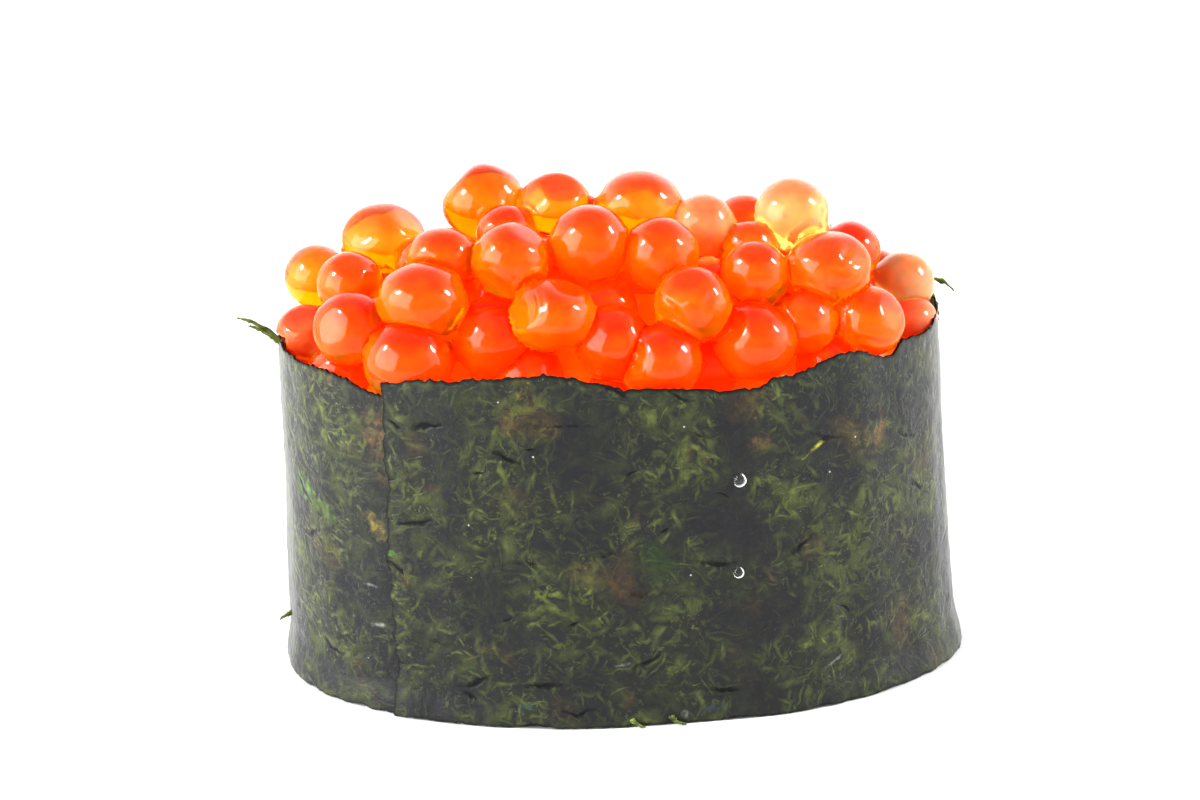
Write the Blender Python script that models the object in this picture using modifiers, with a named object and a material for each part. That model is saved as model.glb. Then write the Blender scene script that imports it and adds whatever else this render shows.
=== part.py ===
"""Salmon roe sushi: a strip of pressed seaweed wound round a bed of rice and heaped with salmon eggs.

The strip stands on its long edge and goes once round and a little further, so that its outer end
lies over its start at the front left. It is open above and below: the eggs rise out of the top,
and the pressed rice shows underneath. X runs along the sushi, -Y is its front, +Z is up, and the
origin is on the flat underside of the rice, below the middle of the wound strip.
"""

import math
import random

import bmesh
import bpy
from mathutils import Euler, Matrix, Vector, noise

MM = 0.001
GAP = 0.3 * MM  # left between neighbours that touch

# The wound strip, seen from above, is a rounded oval
BAND_LENGTH = 52 * MM
BAND_WIDTH = 32 * MM
OVAL_POWER = 2.2  # 2 is an ellipse, and more is squarer
STRIP_HEIGHT = 26.6 * MM
RIGHT_LEAN = 2.1 * MM  # the right-hand end leans in by this much at the top
LEFT_TUCK = 0.5 * MM  # the left-hand end is tucked in by this much at the bottom
STRIP_THICKNESS = 0.2 * MM
LAYER_STEP = 0.32 * MM  # from the inner layer to the outer one where the strip laps itself
OUTER_END_TURN = -135.0  # degrees round the oval, at the front left
LAP = 81.0  # degrees that the strip goes on past its outer end
STEP_DOWN = 14.0  # degrees over which the outer layer comes in past the inner end
WAVE_DEPTH = 0.25 * MM
WAVE_LENGTH = 9 * MM
TOE_FLARE = 0.45 * MM
TOE_HEIGHT = 3 * MM
RAGGED_DEPTH = 0.16 * MM
STRIP_STATIONS = 126
STRIP_ROWS = 3
TORN_ROW = 0.95  # how far up the strip the last row below its torn edge lies

# Height of the strip's torn top edge, by degrees from its outer end
RIM_PROFILE = (
    (0, 26.3), (8, 26.9), (32, 27.6), (46, 26.4), (61, 25.8), (68, 26.5), (82, 27.5),
    (95, 26.1), (99, 27.0), (112, 26.6), (130, 27.2), (180, 26.5), (250, 26.7), (312, 25.8),
    (345, 26.1), (359, 25.2), (375, 25.4), (441, 25.2),
)  # fmt: skip

# Torn slivers that stick out of the top edge: degrees from the outer end, and where the tip goes
SLIVERS = (
    (313.0, Vector((-3.1, -0.2, 1.3)) * MM),
    (143.6, Vector((1.7, -0.4, -0.4)) * MM),
)

# The rice bed
RICE_TOP = 15 * MM
RICE_CORE_BOTTOM = 0.9 * MM
RICE_SQUARENESS = 0.3
GRAIN_LENGTH = 6.2 * MM
GRAIN_WIDTH = 3.1 * MM
GRAIN_THICKNESS = 2.4 * MM
GRAIN_MIDDLE = 0.8 * MM  # height of a grain's middle: what is below the board is pressed flat
GRAIN_SPACING = 4.7 * MM

# The heap of eggs: their middles lie on a long dome
HEAP_EDGE = 27.0 * MM
HEAP_RISE = 8.5 * MM
HEAP_REACH_X = 24.5 * MM
HEAP_REACH_Y = 13.7 * MM
HEAP_POWER_X = 3.5
HEAP_POWER_Y = 2.2
CORE_SINK = 5.4 * MM  # the core's top lies this far below the top eggs' middles
CORE_SQUARENESS = 0.35
LOWER_DEPTH = 3.3 * MM  # the eggs under and behind the listed ones lie this much lower
LOWER_SIZES = (4.8 * MM, 6.0 * MM)
THROWS = 4000  # tries at finding room for another lower egg
ROOM = 0.7  # an egg finds room where it keeps this share of its distance from the others
SQUEEZE = 0.93  # neighbours press into each other to this share of their sizes
SETTLE_ROUNDS = 40
HOLD_ACROSS = 0.8  # how firmly the listed eggs keep their places as seen from the front
HOLD_BACK = 0.1  # and how firmly they keep their distance
WALL_CLEARANCE = 0.55 * MM  # between the eggs and the middle of the strip's thickness

# The heap's top eggs are listed as seen from the front, a little above and to the left. Each is
# given by its place to the right of and above the aim, and by its size, in mm. They lie where the
# lines of sight meet the dome, and those that peep out from behind others lie further back.
AIM = Vector((0, 0, 18)) * MM
SIGHT_TILT = 20.0
SIGHT_TURN = -8.5
SIGHT_DISTANCE = 350 * MM
PEEP_BACK = 2.5 * MM
EGG_ROWS = {
    "along the rim": (
        (-24.4, 6.6, 4.6), (-20.7, 7.0, 5.7), (-16.4, 4.5, 6.6), (-10.4, 6.1, 5.5),
        (-7.3, 3.3, 5.5), (-0.8, 6.1, 5.7), (3.0, 4.5, 6.0), (6.6, 3.9, 4.6), (10.1, 6.1, 6.1),
        (13.9, 7.6, 4.9), (18.6, 7.7, 5.7), (22.1, 7.6, 4.1),
    ),
    "second": (
        (-20.9, 10.5, 5.0), (-15.4, 9.3, 6.7), (-5.3, 8.1, 6.4), (5.3, 9.0, 5.7),
        (10.1, 11.4, 5.0), (15.8, 11.9, 6.4),
    ),
    "third": ((-13.8, 12.7, 5.2), (-8.5, 12.3, 5.8), (-2.5, 13.6, 6.0), (2.9, 12.8, 5.7)),
    "crown": ((-18.3, 14.1, 6.4), (-10.7, 16.8, 6.3), (-5.2, 16.8, 5.5), (1.3, 16.6, 6.4),
              (12.9, 15.9, 5.6)),
    "peeping": (
        (-23.9, 11.1, 5.0), (-9.0, 14.5, 4.5), (6.2, 15.0, 4.9), (9.3, 15.1, 4.7),
        (9.7, 13.3, 4.3), (17.4, 13.1, 4.6), (21.5, 10.7, 4.9),
    ),
}  # fmt: skip

ROE_COLOUR = (0.9, 0.13, 0.01)
NORI_COLOUR = (0.028, 0.036, 0.018)
RICE_COLOUR = (0.86, 0.84, 0.76)


def smooth_step(share):
    share = min(1.0, max(0.0, share))
    return share * share * (3 - 2 * share)


def profile_at(profile, where):
    """The profile's height at a place, eased from each of its points to the next."""
    for (start, low), (end, high) in zip(profile, profile[1:]):
        if where <= end:
            return low + (high - low) * smooth_step((where - start) / (end - start))
    return profile[-1][1]


def signed_power(value, power):
    return math.copysign(abs(value) ** power, value)


def oval_at(z):
    """Middle x, half length and half width of the wound strip at a height."""
    right = RIGHT_LEAN * z / STRIP_HEIGHT
    left = LEFT_TUCK * (1 - z / STRIP_HEIGHT)
    return (left - right) / 2, (BAND_LENGTH - left - right) / 2, BAND_WIDTH / 2


def on_oval(turn, z, out=0.0):
    """The point on the wound strip's oval at a turn in degrees, moved outwards."""
    middle, half_length, half_width = oval_at(z)
    angle = math.radians(turn)
    x = (half_length + out) * signed_power(math.cos(angle), 2 / OVAL_POWER)
    y = (half_width + out) * signed_power(math.sin(angle), 2 / OVAL_POWER)
    return Vector((middle + x, y, z))


def oval_share(x, y, z, inset):
    """How far out a point is, where 1 is on the oval drawn in by inset."""
    middle, half_length, half_width = oval_at(z)
    along = abs(x - middle) / (half_length - inset)
    across = abs(y) / (half_width - inset)
    return (along**OVAL_POWER + across**OVAL_POWER) ** (1 / OVAL_POWER)


def strip_height(degrees, ragged):
    """Bottom and top of the strip, by degrees from its outer end."""
    tear = noise.noise((degrees * 0.31, 0.0, 3.0)) + 0.6 * noise.noise((degrees * 0.9, 5.0, 0.0))
    nibble = abs(noise.noise((degrees * 0.4, 9.0, 0.0)))
    top = profile_at(RIM_PROFILE, degrees) * MM + tear * ragged
    return nibble * ragged, top


def strip_point(along, up):
    """The middle of the strip's thickness, from 0 to 1 along it and from 0 to 1 up it."""
    degrees = along * (360 + LAP)
    bottom, top = strip_height(degrees, RAGGED_DEPTH)
    z = bottom + up * (top - bottom)
    layer = LAYER_STEP * (1 - smooth_step((degrees - LAP - 2) / STEP_DOWN))
    toe = TOE_FLARE * (1 - smooth_step(z / TOE_HEIGHT))
    turn = OUTER_END_TURN + degrees
    place = on_oval(turn, z)
    wave = noise.noise(place / WAVE_LENGTH) * WAVE_DEPTH * (1 - 0.6 * up)
    return on_oval(turn, z, layer + toe + wave)


def new_object(name, mesh, collection, colour=None, roughness=0.5):
    obj = bpy.data.objects.new(name, mesh)
    collection.objects.link(obj)
    if colour:
        material = bpy.data.materials.new(name)
        material.use_nodes = True
        shader = material.node_tree.nodes["Principled BSDF"]
        shader.inputs["Base Color"].default_value = (*colour, 1)
        shader.inputs["Roughness"].default_value = roughness
        material.diffuse_color = (*colour, 1)
        mesh.materials.append(material)
    return obj


def mesh_of(bm, name, matrix=None):
    mesh = bpy.data.meshes.new(name)
    if matrix:
        bmesh.ops.transform(bm, matrix=matrix, verts=bm.verts)
    bm.to_mesh(mesh)
    bm.free()
    return mesh


def make_strip(collection):
    """The seaweed: a flat grid wound round the oval, split into triangles and then thickened."""
    bm = bmesh.new()
    bmesh.ops.create_grid(bm, x_segments=STRIP_STATIONS, y_segments=STRIP_ROWS, size=1)
    station = (360 + LAP) / STRIP_STATIONS
    for vert in bm.verts:
        along, row = (vert.co.x + 1) / 2, (vert.co.y + 1) / 2 * STRIP_ROWS
        up = min(row * TORN_ROW / (STRIP_ROWS - 1), 1) if row < STRIP_ROWS - 0.5 else 1
        place = strip_point(along, up)
        if up == 1:
            for degrees, reach in SLIVERS:
                if abs(along * (360 + LAP) - degrees) < station / 2:
                    place += reach
        vert.co = place
    bmesh.ops.triangulate(bm, faces=bm.faces)
    bmesh.ops.recalc_face_normals(bm, faces=bm.faces)
    strip = new_object("nori_strip", mesh_of(bm, "nori_strip"), collection, NORI_COLOUR, 0.35)
    thicken = strip.modifiers.new("thickness", "SOLIDIFY")
    thicken.thickness = STRIP_THICKNESS
    thicken.offset = 0
    return strip


def squared_ball(segments, rings, squareness, place):
    """A ball whose points are moved to place(turn, out, up): out is from 0 to 1, up from -1 to 1."""
    bm = bmesh.new()
    bmesh.ops.create_uvsphere(bm, u_segments=segments, v_segments=rings, radius=1)
    for vert in bm.verts:
        flat = math.hypot(vert.co.x, vert.co.y)
        turn = math.degrees(math.atan2(vert.co.y, vert.co.x))
        vert.co = place(turn, flat**squareness, signed_power(vert.co.z, squareness))
    return bm


def rice_core_point(turn, out, up):
    middle = (RICE_TOP + RICE_CORE_BOTTOM) / 2
    z = middle + up * (RICE_TOP - RICE_CORE_BOTTOM) / 2
    inset = STRIP_THICKNESS / 2 + WAVE_DEPTH + GAP
    edge = on_oval(turn, z, -inset)
    return Vector((edge.x * out, edge.y * out, z))


def grain_places(draw):
    """Places on the underside for the grains, in staggered rows with a grain at the origin."""
    inset = STRIP_THICKNESS / 2 + WAVE_DEPTH + GAP + GRAIN_WIDTH * 0.62
    rows = math.ceil(BAND_WIDTH / 2 / GRAIN_SPACING)
    columns = math.ceil(BAND_LENGTH / 2 / GRAIN_SPACING)
    for row in range(-rows, rows + 1):
        for column in range(-columns, columns + 1):
            x = (column + row % 2 / 2) * GRAIN_SPACING
            y = row * GRAIN_SPACING * 0.87
            turn = draw.uniform(0, 180)
            if row or column:
                x += draw.uniform(-0.6, 0.6) * MM
                y += draw.uniform(-0.6, 0.6) * MM
            tip = Vector((math.cos(math.radians(turn)), math.sin(math.radians(turn)), 0))
            tips = [Vector((x, y, 0)) + tip * side * GRAIN_LENGTH * 0.28 for side in (-1, 1)]
            if all(oval_share(end.x, end.y, 0, inset) < 1 for end in tips):
                yield x, y, turn


def keep_outer_shell(mesh):
    """Fills sealed hollows and drops loose scraps: only the largest connected shell is kept."""
    bm = bmesh.new()
    bm.from_mesh(mesh)
    left = set(bm.verts)
    shells = []
    while left:
        shell = {left.pop()}
        edge_of_shell = list(shell)
        while edge_of_shell:
            vert = edge_of_shell.pop()
            near = {edge.other_vert(vert) for edge in vert.link_edges} - shell
            shell |= near
            edge_of_shell.extend(near)
        left -= shell
        shells.append(shell)
    largest = max(shells, key=len)
    bmesh.ops.delete(bm, geom=[v for v in bm.verts if v not in largest], context="VERTS")
    bm.to_mesh(mesh)
    bm.free()


def join_all(name, pieces, collection, colour, roughness):
    """Fuses the first piece with the rest by one Boolean union, and removes the rest."""
    parts = bpy.data.collections.new(name + "_pieces")
    bpy.context.scene.collection.children.link(parts)
    body = new_object(name, pieces[0], collection, colour, roughness)
    for number, mesh in enumerate(pieces[1:]):
        new_object(f"{name}_{number}", mesh, parts)
    union = body.modifiers.new("union", "BOOLEAN")
    union.operation = "UNION"
    union.operand_type = "COLLECTION"
    union.collection = parts
    union.solver = "EXACT"
    bpy.context.view_layer.update()
    graph = bpy.context.evaluated_depsgraph_get()
    fused = bpy.data.meshes.new_from_object(body.evaluated_get(graph))
    keep_outer_shell(fused)
    body.modifiers.clear()
    body.data = fused
    for obj in list(parts.objects):
        bpy.data.objects.remove(obj)
    bpy.data.collections.remove(parts)
    return body


def make_rice(collection, cutters):
    """The rice: a core with whole grains on its underside, pressed flat where it stands."""
    draw = random.Random(11)
    pieces = [mesh_of(squared_ball(30, 6, RICE_SQUARENESS, rice_core_point), "rice_core")]
    size = Matrix.Diagonal((GRAIN_LENGTH / 2, GRAIN_WIDTH / 2, GRAIN_THICKNESS / 2, 1))
    for x, y, turn in grain_places(draw):
        bm = bmesh.new()
        bmesh.ops.create_uvsphere(bm, u_segments=6, v_segments=4, radius=1)
        along = Matrix.Rotation(math.radians(90), 4, "Y")
        spin = Matrix.Rotation(math.radians(turn), 4, "Z")
        place = Matrix.Translation((x, y, GRAIN_MIDDLE)) @ spin @ size @ along
        pieces.append(mesh_of(bm, "grain", place))
    rice = join_all("rice_bed", pieces, collection, RICE_COLOUR, 0.5)
    bm = bmesh.new()
    bmesh.ops.create_cube(bm, size=1)
    depth = GRAIN_THICKNESS
    block = Matrix.Translation((0, 0, -depth / 2)) @ Matrix.Diagonal(
        (BAND_LENGTH * 2, BAND_WIDTH * 2, depth, 1)
    )
    board = new_object("board_cutter", mesh_of(bm, "board_cutter", block), cutters)
    board.hide_render = True
    board.display_type = "WIRE"
    flat = rice.modifiers.new("pressed flat", "BOOLEAN")
    flat.operation = "DIFFERENCE"
    flat.object = board
    flat.solver = "EXACT"
    return rice


def dome(x, y):
    """Height of the eggs' middles over a place."""
    fall = abs(x / HEAP_REACH_X) ** HEAP_POWER_X + abs(y / HEAP_REACH_Y) ** HEAP_POWER_Y
    return HEAP_EDGE + HEAP_RISE * (1 - fall)


def wall_overlap(place, radius):
    """How far an egg reaches into the strip, and the way out of the strip."""
    above = max(0.0, place.z - STRIP_HEIGHT)
    inset = WALL_CLEARANCE + math.sqrt(max(0.0, radius * radius - above * above))
    middle, half_length, half_width = oval_at(place.z)
    along = (place.x - middle) / (half_length - inset)
    across = place.y / (half_width - inset)
    slope = Vector((
        signed_power(along, OVAL_POWER - 1) / (half_length - inset),
        signed_power(across, OVAL_POWER - 1) / (half_width - inset),
        0,
    ))  # fmt: skip
    excess = abs(along) ** OVAL_POWER + abs(across) ** OVAL_POWER - 1
    return excess / (OVAL_POWER * slope.length + 1e-9), -slope.normalized()


def keep_inside(place, radius):
    """Moves an egg so that it clears the strip and the rice."""
    place.z = max(place.z, RICE_TOP + GAP + radius)
    overlap, inwards = wall_overlap(place, radius)
    if overlap > 0:
        place += inwards * overlap


def line_of_sight(across, up):
    """The point on the plane through the aim, and the way on from there away from the viewer."""
    tilt, turn = math.radians(SIGHT_TILT), math.radians(SIGHT_TURN)
    back = Vector((math.sin(turn) * math.cos(tilt), -math.cos(turn) * math.cos(tilt), math.sin(tilt)))
    right = Vector((math.cos(turn), math.sin(turn), 0))
    point = AIM + right * across * MM + back.cross(right) * up * MM
    eye = AIM + back * SIGHT_DISTANCE
    return point, (point - eye).normalized()


def place_seen(across, up, radius, further):
    """Where a listed egg lies, on or nearest to the dome, and clear of the strip."""
    point, onwards = line_of_sight(across, up)
    best = None
    for step in range(-160, 160):
        place = point + onwards * step * 0.2 * MM
        above = place.z - dome(place.x, place.y)
        if best is None or above < best[0]:
            best = (above, place)
        if above < 0:
            break
    place = best[1] + onwards * further
    while wall_overlap(place, radius)[0] > 0 and place.y < 0:
        place += onwards * 0.1 * MM
    return place, onwards


def settle(eggs, homes):
    """Pushes eggs apart to where they only just press into each other."""
    for _ in range(SETTLE_ROUNDS):
        for number, (place, radius) in enumerate(eggs):
            for other, other_radius in eggs[:number]:
                apart = place - other
                want = SQUEEZE * (radius + other_radius)
                if apart.length < want:
                    push = apart.normalized() * (want - apart.length) / 2
                    place += push
                    other -= push
        for (place, _), (home, onwards) in zip(eggs, homes):
            strayed = home - place
            place += strayed * HOLD_ACROSS
            place -= onwards * strayed.dot(onwards) * (HOLD_ACROSS - HOLD_BACK)
        for place, _ in eggs[len(homes) :]:
            place.z = min(place.z, dome(place.x, place.y) - LOWER_DEPTH)
        for place, radius in eggs:
            keep_inside(place, radius)


def heap_eggs():
    """Middle and radius of each egg: the listed ones first, then those that found room."""
    draw = random.Random(7)
    eggs = []
    homes = []
    for name, row in EGG_ROWS.items():
        for across, up, size in row:
            further = PEEP_BACK if name == "peeping" else 0
            home, onwards = place_seen(across, up, size / 2 * MM, further)
            homes.append((home, onwards))
            eggs.append((home.copy(), size / 2 * MM))
    for _ in range(THROWS):
        x = draw.uniform(-0.5, 0.5) * BAND_LENGTH
        y = draw.uniform(-0.5, 0.5) * BAND_WIDTH
        radius = draw.uniform(*LOWER_SIZES) / 2
        place = Vector((x, y, dome(x, y) - LOWER_DEPTH))
        if oval_share(x, y, place.z, WALL_CLEARANCE + radius * 0.6) < 1:
            keep_inside(place, radius)
            if all((place - other).length > ROOM * (radius + r) for other, r in eggs):
                eggs.append((place, radius))
    settle(eggs, homes)
    return eggs


def roe_core_point(turn, out, up):
    bottom = RICE_TOP + GAP
    edge = on_oval(turn, STRIP_HEIGHT, -(STRIP_THICKNESS / 2 + WAVE_DEPTH + GAP))
    x, y = edge.x * out, edge.y * out
    top = max(dome(x, y) - CORE_SINK, bottom + 1 * MM)
    return Vector((x, y, bottom + (top - bottom) * (up + 1) / 2))


def make_roe(collection):
    """The heap: a core with the eggs that show fused onto it."""
    draw = random.Random(5)
    pieces = [mesh_of(squared_ball(30, 9, CORE_SQUARENESS, roe_core_point), "roe_core")]
    listed = sum(len(row) for row in EGG_ROWS.values())
    for number, (place, radius) in enumerate(heap_eggs()):
        bm = bmesh.new()
        if number < listed:
            bmesh.ops.create_icosphere(bm, subdivisions=2, radius=radius)
        else:
            bmesh.ops.create_uvsphere(bm, u_segments=7, v_segments=5, radius=radius)
        tumble = Euler([draw.uniform(0, math.tau) for _ in range(3)]).to_matrix().to_4x4()
        pieces.append(mesh_of(bm, "egg", Matrix.Translation(place) @ tumble))
    return join_all("roe_heap", pieces, collection, ROE_COLOUR, 0.15)


def main():
    for obj in list(bpy.data.objects):
        bpy.data.objects.remove(obj)
    sushi = bpy.data.collections.new("salmon_roe_sushi")
    cutters = bpy.data.collections.new("cutters")
    for collection in (sushi, cutters):
        bpy.context.scene.collection.children.link(collection)
    make_strip(sushi)
    make_rice(sushi, cutters)
    make_roe(sushi)


main()
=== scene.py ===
import math
import random

import bmesh
import bpy
from mathutils import Euler, Matrix, Vector, noise


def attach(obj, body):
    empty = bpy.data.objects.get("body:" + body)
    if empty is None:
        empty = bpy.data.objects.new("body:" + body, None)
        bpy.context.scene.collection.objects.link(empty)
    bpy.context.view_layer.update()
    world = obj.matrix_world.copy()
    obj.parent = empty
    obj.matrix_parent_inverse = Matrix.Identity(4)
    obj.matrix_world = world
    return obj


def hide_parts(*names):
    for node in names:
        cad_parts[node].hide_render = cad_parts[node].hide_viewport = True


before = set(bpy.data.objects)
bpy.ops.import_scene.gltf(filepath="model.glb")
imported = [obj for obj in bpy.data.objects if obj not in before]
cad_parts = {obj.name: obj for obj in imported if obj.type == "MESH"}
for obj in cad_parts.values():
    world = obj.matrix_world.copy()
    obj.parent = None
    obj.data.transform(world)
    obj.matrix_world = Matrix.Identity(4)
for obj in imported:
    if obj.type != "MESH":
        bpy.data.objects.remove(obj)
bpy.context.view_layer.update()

mm = 0.001
zUp = Vector((0, 0, 1))

sushi = bpy.data.collections.new("salmonRoeSushi")
studio = bpy.data.collections.new("studio")
bpy.context.scene.collection.children.link(sushi)
bpy.context.scene.collection.children.link(studio)


# The wound strip of seaweed, seen from above a rounded oval. The solids have the same values.
band = {
    "length": 52 * mm,
    "width": 32 * mm,
    "power": 2.2,  # 2 is an ellipse, and more is squarer
    "height": 26.6 * mm,
    "rightLean": 2.1 * mm,  # how far the right-hand end leans in at the top
    "leftTuck": 0.5 * mm,  # how far the left-hand end is tucked in at the bottom
    "thickness": 0.2 * mm,
    "layerStep": 0.32 * mm,
    "outerEndTurn": -135.0,
    "lap": 81.0,
    "stepDown": 14.0,
    "waveDepth": 0.25 * mm,
    "waveLength": 9 * mm,
    "toeFlare": 0.45 * mm,
    "toeHeight": 3 * mm,
    "raggedDepth": 0.16 * mm,
}

# Height in mm of the strip's torn top edge, by degrees from its outer end
rimProfile = (
    (0, 26.3), (8, 26.9), (32, 27.6), (46, 26.4), (61, 25.8), (68, 26.5), (82, 27.5),
    (95, 26.1), (99, 27.0), (112, 26.6), (130, 27.2), (180, 26.5), (250, 26.7), (312, 25.8),
    (345, 26.1), (359, 25.2), (375, 25.4), (441, 25.2),
)


def smoothStep(share):
    share = min(1.0, max(0.0, share))
    return share * share * (3 - 2 * share)


def profileAt(profile, where):
    for (start, low), (end, high) in zip(profile, profile[1:]):
        if where <= end:
            return low + (high - low) * smoothStep((where - start) / (end - start))
    return profile[-1][1]


def signedPower(value, power):
    return math.copysign(abs(value) ** power, value)


def ovalAt(z):
    right = band["rightLean"] * z / band["height"]
    left = band["leftTuck"] * (1 - z / band["height"])
    return (left - right) / 2, (band["length"] - left - right) / 2, band["width"] / 2


def onOval(turn, z, out=0.0):
    middle, halfLength, halfWidth = ovalAt(z)
    angle = math.radians(turn)
    x = (halfLength + out) * signedPower(math.cos(angle), 2 / band["power"])
    y = (halfWidth + out) * signedPower(math.sin(angle), 2 / band["power"])
    return Vector((middle + x, y, z))


def ovalShare(x, y, z, inset):
    middle, halfLength, halfWidth = ovalAt(z)
    along = abs(x - middle) / (halfLength - inset)
    across = abs(y) / (halfWidth - inset)
    return (along ** band["power"] + across ** band["power"]) ** (1 / band["power"])


def stripEnds(degrees):
    # bottom and top of the strip, by degrees from its outer end
    tear = noise.noise((degrees * 0.31, 0.0, 3.0)) + 0.6 * noise.noise((degrees * 0.9, 5.0, 0.0))
    nibble = abs(noise.noise((degrees * 0.4, 9.0, 0.0)))
    top = profileAt(rimProfile, degrees) * mm + tear * band["raggedDepth"]
    return nibble * band["raggedDepth"], top


def stripOut(degrees, z, up):
    # how far the strip's middle lies outside the oval
    layer = band["layerStep"] * (1 - smoothStep((degrees - band["lap"] - 2) / band["stepDown"]))
    toe = band["toeFlare"] * (1 - smoothStep(z / band["toeHeight"]))
    place = onOval(band["outerEndTurn"] + degrees, z)
    wave = noise.noise(place / band["waveLength"]) * band["waveDepth"] * (1 - 0.6 * up)
    return layer + toe + wave


def stripLength(degrees):
    # along the strip from its outer end
    steps = max(1, round(degrees))
    spots = [onOval(band["outerEndTurn"] + degrees * step / steps, 0) for step in range(steps + 1)]
    return sum((last - first).length for first, last in zip(spots, spots[1:]))


def addPiece(name, mesh, *materials, collection=sushi):
    piece = bpy.data.objects.new(name, mesh)
    collection.objects.link(piece)
    for material in materials:
        mesh.materials.append(material)
    mesh.shade_smooth()
    return piece


def toMesh(bm, name):
    mesh = bpy.data.meshes.new(name)
    bm.to_mesh(mesh)
    bm.free()
    return mesh


def addNode(tree, kind, at, inputs=None, **settings):
    # inputs holds plain values and the outputs that are linked in, by socket name or number
    node = tree.nodes.new(kind)
    node.location = at
    for name, value in settings.items():
        setattr(node, name, value)
    for socket, value in (inputs or {}).items():
        if isinstance(value, bpy.types.NodeSocket):
            tree.links.new(value, node.inputs[socket])
        else:
            node.inputs[socket].default_value = value
    return node


def useGroup(tree, group, at, **inputs):
    return addNode(tree, "ShaderNodeGroup", at, inputs, node_tree=group).outputs


def addMath(tree, kind, at, first, second=0.0, clamp=False):
    node = addNode(tree, "ShaderNodeMath", at, {0: first, 1: second}, operation=kind)
    node.use_clamp = clamp
    return node.outputs[0]


def addVector(tree, kind, at, first, second):
    node = addNode(tree, "ShaderNodeVectorMath", at, {0: first, 1: second}, operation=kind)
    return node.outputs[0]


def addLength(tree, at, way):
    node = addNode(tree, "ShaderNodeVectorMath", at, {0: way}, operation="LENGTH")
    return node.outputs["Value"]


def addRange(tree, at, value, low, high, toLow=0.0, toHigh=1.0):
    wanted = {"Value": value, "From Min": low, "From Max": high, "To Min": toLow, "To Max": toHigh}
    return addNode(tree, "ShaderNodeMapRange", at, wanted).outputs["Result"]


def addMix(tree, at, share, first, second):
    node = addNode(tree, "ShaderNodeMix", at, {0: share, 6: first, 7: second}, data_type="RGBA")
    return node.outputs[2]


def addBump(tree, shader, at, height, strength, distance):
    wanted = {"Strength": strength, "Distance": distance, "Height": height}
    bump = addNode(tree, "ShaderNodeBump", at, wanted)
    tree.links.new(bump.outputs["Normal"], shader.inputs["Normal"])


def objectPlace(tree, at):
    return addNode(tree, "ShaderNodeTexCoord", at).outputs["Object"]


def newMaterial(name, **values):
    material = bpy.data.materials.new(name)
    material.use_nodes = True
    shader = material.node_tree.nodes["Principled BSDF"]
    for socket, value in values.items():
        shader.inputs[socket.replace("_", " ")].default_value = value
    return material, material.node_tree, shader


def newGroup(name, inputs, outputs):
    group = bpy.data.node_groups.new(name, "ShaderNodeTree")
    for socket, kind, value in inputs:
        made = group.interface.new_socket(socket, in_out="INPUT", socket_type=kind)
        if value is not None:
            made.default_value = value
    for socket, kind in outputs:
        group.interface.new_socket(socket, in_out="OUTPUT", socket_type=kind)
    into = group.nodes.new("NodeGroupInput")
    into.location = (-1000, 0)
    outOf = group.nodes.new("NodeGroupOutput")
    outOf.location = (600, 0)
    return group, into.outputs, outOf.inputs


print("shader groups")

scalar, vector = "NodeSocketFloat", "NodeSocketVector"

# Mottle: cloudy patches, from 0 to 1, with edges as ragged as Detail and Warp make them
mottle, given, gives = newGroup(
    "mottle",
    (("Vector", vector, None), ("Scale", scalar, 1.0), ("Detail", scalar, 3.0),
     ("Roughness", scalar, 0.5), ("Warp", scalar, 0.0), ("Low", scalar, 0.4),
     ("High", scalar, 0.6)),
    (("Mask", scalar),),
)
cloud = addNode(mottle, "ShaderNodeTexNoise", (-600, 0),
                {"Vector": given["Vector"], "Scale": given["Scale"], "Detail": given["Detail"],
                 "Roughness": given["Roughness"], "Distortion": given["Warp"]})
mottle.links.new(
    addRange(mottle, (0, 0), cloud.outputs["Fac"], given["Low"], given["High"]), gives["Mask"]
)

# Tufts: torn scraps, one in a cell, each with its own lie and with threads along it
tufts, given, gives = newGroup(
    "tufts",
    (("Vector", vector, None), ("Scale", scalar, 0.3), ("Length", scalar, 1.5),
     ("Width", scalar, 0.5), ("Lie", scalar, 0.0), ("Spread", scalar, 6.28), ("Share", scalar, 0.6),
     ("Threads", scalar, 4.0), ("Seed", scalar, 0.0)),
    (("Mask", scalar), ("Lot", scalar)),
)
bendy = addNode(tufts, "ShaderNodeTexNoise", (-1300, 300),
                {"Vector": given["Vector"], "Scale": 0.5, "Detail": 2.0})
bent = addVector(tufts, "MULTIPLY", (-1150, 300), bendy.outputs["Color"], (1.5, 1.5, 0.0))
seedShift = addNode(tufts, "ShaderNodeCombineXYZ", (-1300, 0),
                    {"X": given["Seed"], "Y": given["Seed"], "Z": given["Seed"]})
shifted = addVector(tufts, "ADD", (-1150, 100), given["Vector"], seedShift.outputs[0])
wander = addVector(tufts, "ADD", (-1000, 200), shifted, bent)
cells = addNode(tufts, "ShaderNodeTexVoronoi", (-850, 200),
                {"Vector": wander, "Scale": given["Scale"]}, voronoi_dimensions="2D")
lot = addNode(tufts, "ShaderNodeSeparateColor", (-650, -100), {0: cells.outputs["Color"]})
fromMiddle = addVector(tufts, "SUBTRACT", (-650, 200), wander, cells.outputs["Position"])
lie = addMath(tufts, "SUBTRACT", (-500, -100), lot.outputs[0], 0.5)
lie = addMath(tufts, "MULTIPLY", (-400, -100), lie, given["Spread"])
lie = addMath(tufts, "ADD", (-300, -100), lie, given["Lie"])
turned = addNode(tufts, "ShaderNodeVectorRotate", (-350, 200),
                 {"Vector": fromMiddle, "Angle": lie}, rotation_type="Z_AXIS")
apart = addNode(tufts, "ShaderNodeSeparateXYZ", (-200, 200), {0: turned.outputs[0]})
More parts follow.
